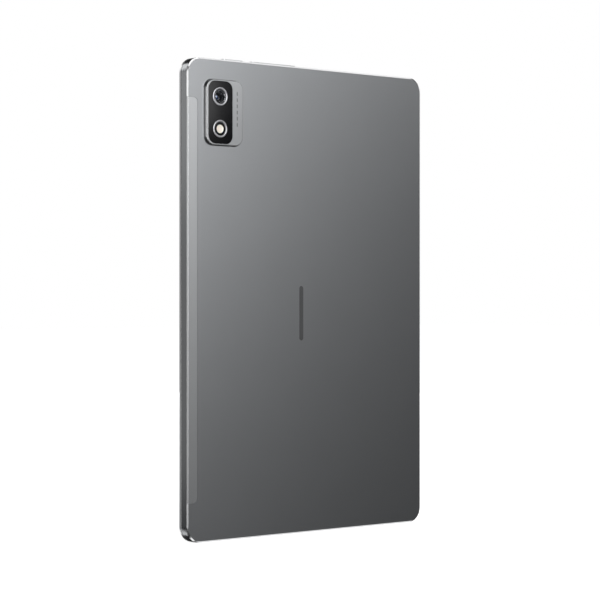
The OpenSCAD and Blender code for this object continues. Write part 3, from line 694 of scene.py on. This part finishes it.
def lens_cover():
    """Clear pane over the camera with a black printed ring on its rear face."""
    low, high = span("camera_lens_cover")
    radius = (high.x - low.x) / 2
    ink = low.y + 0.04 * MM
    foot_run, foot_rise = 0.04 * MM, 0.05 * MM
    ease = 0.08 * MM
    hole = 2.75 * MM
    mask_top = ink - 0.005 * MM
    clear = lathe("lens_pane", [lens_cover_look],
                  [(0, ink, 0), (radius - foot_run, ink, 0), (radius, ink + foot_rise, 0),
                   (radius, high.y - ease, 0), (radius - ease, high.y, 0),
                   (0, high.y, 0)], LENS_Z)
    mask = lathe("lens_mask", [hood_look],
                 [(hole, low.y, 0), (radius, low.y, 0), (radius, mask_top, 0),
                  (hole, mask_top, 0)], LENS_Z)
    return clear, mask


pane, mask = lens_cover()
finish_piece(pane, ROOT, "lens_glass", "camera_lens_cover")
finish_piece(mask, ROOT, "module_black")


def barrel():
    """Stepped black hood of the moving barrel with a slightly lighter ring in its top."""
    low, high = span("camera_barrel")
    radius = (high.x - low.x) / 2
    top = high.y
    ease = 0.06 * MM
    hole = 1.5 * MM
    ring_outer, ring_inner = 2.42 * MM, 2.36 * MM
    throat_top, throat_foot = 2.12 * MM, 2.1 * MM
    step = top - 0.05 * MM
    shelf = low.y + 0.3 * MM
    profile = [(hole, low.y, 0), (radius, low.y, 0), (radius, top - ease, 0),
               (radius - ease, top, 0), (ring_outer, top, 1), (ring_inner, step, 1),
               (throat_top, step, 0), (throat_foot, shelf, 0), (hole, shelf, 0)]
    return lathe("barrel_hood", [hood_look, eye_ring_look], profile, LENS_Z)


finish_piece(barrel(), "lens_barrel", "module_black", "camera_barrel")


# Steps of the stop round the front lens: radius and depth below the shoulder, in mm
STOP_STEPS = ((1.9, 0.0), (1.85, 0.08), (1.6, 0.08), (1.55, 0.16))


def lens_stack():
    """Lens group as one turned piece: a domed, coated front and a stepped black stop."""
    dome = 0.28 * MM
    aperture = 1.15 * MM
    edge = 2.08 * MM
    base = lens_lo.y
    shoulder = lens_hi.y - 0.30 * MM
    seat = shoulder - 0.20 * MM
    profile = [(0, base, 0), (edge, base, 0), (edge, shoulder, 2)]
    profile += [(radius * MM, shoulder - depth * MM, 2) for radius, depth in STOP_STEPS]
    profile.append((aperture + 0.15 * MM, seat, 1))
    steps = 10
    for k in range(steps + 1):
        share = k / steps
        radius = aperture * math.cos(math.pi / 2 * share)
        profile.append((radius if k < steps else 0.0,
                        seat + dome * math.sin(math.pi / 2 * share), 0))
    return lathe("lens_stack", [coated_look, eye_ring_look, hood_look], profile, LENS_Z, 72)


finish_piece(lens_stack(), "lens_barrel", "lens_glass", "camera_lenses")


def flash_window():
    """Flash cover: black round its edge, with a ribbed warm lens in the middle."""
    low, high = span("flash_diffuser")
    radius = (high.x - low.x) / 2
    lit = 2.12 * MM
    ease = 0.08 * MM
    tip = 0.22 * MM
    ribs = 6
    rib_start, rib_end = 0.15, 0.85
    crest = high.y - 0.01 * MM
    valley = high.y - 0.05 * MM
    profile = [(0, low.y, 1), (radius, low.y, 1), (radius, high.y - ease, 1),
               (radius - ease, high.y, 1), (lit + ease, high.y, 1),
               (lit, high.y - 0.06 * MM, 0)]
    for k in range(ribs):
        profile.append((lit * (1 - (k + rib_start) / (ribs + 1)), crest, 0))
        profile.append((lit * (1 - (k + rib_end) / (ribs + 1)), valley, 0))
    profile.append((tip, crest, 0))
    profile.append((0, high.y, 0))
    return lathe("flash_window", [diffuser_look, window_look], profile, FLASH_Z)


finish_piece(flash_window(), ROOT, "diffuser", "flash_diffuser")


# ---- Keys, tray and socket ----

KEY_EDGE = 0.08 * MM
TRAY_EDGE = 0.04 * MM

for node, name, body, slot, look, edge in (
        ("power_key", "power_button", "power_key", "key_aluminium", key_look, KEY_EDGE),
        ("volume_key", "volume_button", "volume_key", "key_aluminium", key_look, KEY_EDGE),
        ("card_tray", "tray_piece", "card_tray", "housing_aluminium", side_look, TRAY_EDGE),
        ("usb_shell", "socket_shell", ROOT, "port_steel", SLOT_LOOKS["port_steel"], TRAY_EDGE)):
    finish_piece(copy_of(node, name, [look], bevel=edge), body, slot, node)


# ---- Plain prints where the object carries its marks ----

INK_HEIGHT = 0.012 * MM
INK_SINK = 0.002 * MM
ROUND_SHORTFALL = 0.001 * MM
MARK_PLACE = (5.6 * MM, 113.2 * MM)
MARK_SIZE = (2.6 * MM, 28 * MM)
DASHES = 6
DASH_X = island_lo.x + 4.3 * MM
DASH_TOP = LENS_Z + 2 * MM
DASH_PITCH = 3.1 * MM
DASH_SIZE = (0.45 * MM, 1.9 * MM)


def print_plate(name, centre, size, y):
    """Thin printed bar with round ends, standing a hair above the face at y."""
    work = bmesh.new()
    points = outline(*size, min(size) / 2 - ROUND_SHORTFALL, 10)
    low = loop_of(work, points, y - INK_SINK, centre)
    high = loop_of(work, points, y + INK_HEIGHT, centre)
    for k in range(len(low)):
        n = (k + 1) % len(low)
        work.faces.new((low[k], low[n], high[n], high[k]))
    work.faces.new(low)
    work.faces.new(high)
    bmesh.ops.recalc_face_normals(work, faces=work.faces)
    mesh = bpy.data.meshes.new(name)
    work.to_mesh(mesh)
    work.free()
    return new_object(name, mesh, [mark_look])


finish_piece(print_plate("back_mark", MARK_PLACE, MARK_SIZE, back_y), ROOT, "module_black")
for k in range(DASHES):
    dash_place = (DASH_X, DASH_TOP - k * DASH_PITCH)
    finish_piece(print_plate(f"island_dash_{k + 1}", dash_place, DASH_SIZE, island_hi.y),
                 ROOT, "module_black")


# ---- Studio ----

scene = bpy.context.scene
scene.view_settings.view_transform = "Standard"

CAMERA_TURN = math.radians(39.552)
CAMERA_AT = Vector((0.6467, 0.7782, 0.120))
SENSOR_WIDTH = 36.0
FOCAL_LENGTH = 117.2
LOOK_ALONG = Vector((-math.sin(CAMERA_TURN), -math.cos(CAMERA_TURN), 0.0))
camera_data = bpy.data.cameras.new("camera")
camera_data.sensor_width = SENSOR_WIDTH
camera_data.lens = FOCAL_LENGTH
camera = bpy.data.objects.new("camera", camera_data)
camera.location = CAMERA_AT
camera.rotation_euler = LOOK_ALONG.to_track_quat("-Z", "Y").to_euler()
scene.collection.objects.link(camera)
scene.camera = camera

STUDIO_MIDDLE = Vector((0.0, 0.0, cover_top / 2))


def softbox(name, turn, lift, distance, size, radiance):
    """Rectangular lamp that faces the middle of the object. turn is in degrees from +Y
    towards -X, lift in degrees above level, distance and size are in metres, and radiance
    is its brightness as seen."""
    around, above = math.radians(turn), math.radians(lift)
    away = Vector((-math.sin(around) * math.cos(above), math.cos(around) * math.cos(above),
                   math.sin(above)))
    data = bpy.data.lights.new(name, "AREA")
    data.shape = "RECTANGLE"
    data.size, data.size_y = size
    data.energy = radiance * math.pi * size[0] * size[1]
    lamp = bpy.data.objects.new(name, data)
    lamp.location = STUDIO_MIDDLE + away * distance
    lamp.rotation_euler = (-away).to_track_quat("-Z", "Y").to_euler()
    lamp.visible_camera = False
    scene.collection.objects.link(lamp)


for name, turn, lift, distance, size, radiance in (
        ("broad_panel", 0, 10, 1.2, (1.0, 1.0), 1.6),
        ("key_panel", 12, 14, 1.2, (0.5, 0.5), 7.1),
        ("upright_strip", 2, -2, 1.2, (0.4, 1.2), 0.3),
        ("upper_panel", 25.0, 18.7, 1.2, (0.4, 0.4), 1.9),
        ("far_panel", 52, 28, 1.2, (0.8, 0.4), 2.0),
        ("top_edge_panel", 69, 54, 1.2, (0.7, 0.5), 0.95),
        ("low_edge_panel", 69, -53, 1.2, (0.7, 0.5), 0.9),
        ("corner_panel", -18, 48, 1.2, (0.5, 0.5), 1.2),
        ("high_panel", 20, 64, 1.2, (0.6, 0.4), 1.1),
        ("low_corner_strip", -3, -58, 1.2, (0.4, 0.25), 1.3),
        ("long_edge_strip", -32, 12, 1.2, (0.35, 0.34), 1.1),
        ("long_edge_foot", -32, -4, 1.2, (0.35, 0.36), 0.6),
        ("island_panel", -97, 5, 1.2, (0.5, 0.6), 2.6),
        ("wall_panel", -140, 3, 1.3, (0.5, 0.6), 0.40),
        ("wall_top_panel", -140, 14, 1.3, (0.5, 0.4), 0.38),
        ("high_corner_panel", -156, 30, 1.3, (0.5, 0.5), 2.2),
        ("low_corner_panel", -158, -28, 1.3, (0.5, 0.45), 1.6),
        ("far_side_panel", -54, -14, 1.3, (0.5, 0.6), 1.0),
        ("near_side_panel", 112, 2, 1.4, (0.9, 0.9), 0.7),
        ("front_low_panel", 128, -26, 1.4, (0.5, 0.5), 0.5),
        ("front_panel", 140, 8, 1.5, (0.9, 0.9), 1.2)):
    softbox(name, turn, lift, distance, size, radiance)

# The camera sees white, and the object sees a faint, even fill
WHITE = (1.0, 1.0, 1.0, 1.0)
FILL_COLOR = (0.98, 0.99, 1.0, 1.0)
FILL_STRENGTH = 0.045
world = bpy.data.worlds.new("studio")
scene.world = world
world.use_nodes = True
tree = world.node_tree
background = tree.nodes["Background"]
seen = tree.nodes.new("ShaderNodeBackground")
seen.inputs["Color"].default_value = WHITE
seen.inputs["Strength"].default_value = 1.0
background.inputs["Color"].default_value = FILL_COLOR
background.inputs["Strength"].default_value = FILL_STRENGTH
switch = tree.nodes.new("ShaderNodeMixShader")
path = tree.nodes.new("ShaderNodeLightPath")
tree.links.new(path.outputs["Is Camera Ray"], switch.inputs[0])
tree.links.new(background.outputs[0], switch.inputs[1])
tree.links.new(seen.outputs[0], switch.inputs[2])
tree.links.new(switch.outputs[0], tree.nodes["World Output"].inputs["Surface"])


def studio_floor():
    """Pale floor that glows more with distance, so its weaker glow near the object is a painted
    soft shadow round it, and that runs out into the white background without a horizon.
    The lamps' light doesn't bounce off it onto the object."""
    # The glow is weakest near the object and full from far on: a painted soft shadow round the
    # object
    painted_shadow_glow, glow_far = 0.84, 1.0
    near, far = 0.15, 0.6
    reach = 6.0
    level = -0.1 * MM
    look = Look("floor_pale", (0.90, 0.90, 0.90), 0.9)
    look.set("Emission Color", WHITE)
    distance = look.add("ShaderNodeVectorMath", {0: look.place}, operation="LENGTH")
    look.tree.links.new(look.scaled(distance.outputs["Value"], painted_shadow_glow, glow_far, near, far),
                        look.shader.inputs["Emission Strength"])
    look.mottle(3.0, 0.01)
    look.bump(look.noise(300.0, 2.0), 10e-6)
    work = bmesh.new()
    for x, y in ((-reach, -reach), (reach, -reach), (reach, reach), (-reach, reach)):
        work.verts.new((x, y, level))
    work.faces.new(work.verts)
    mesh = bpy.data.meshes.new("floor")
    work.to_mesh(mesh)
    work.free()
    made = new_object("floor", mesh, [look])
    for ray in ("visible_glossy", "visible_diffuse", "visible_transmission", "visible_shadow"):
        setattr(made, ray, False)
    return made


studio_floor()
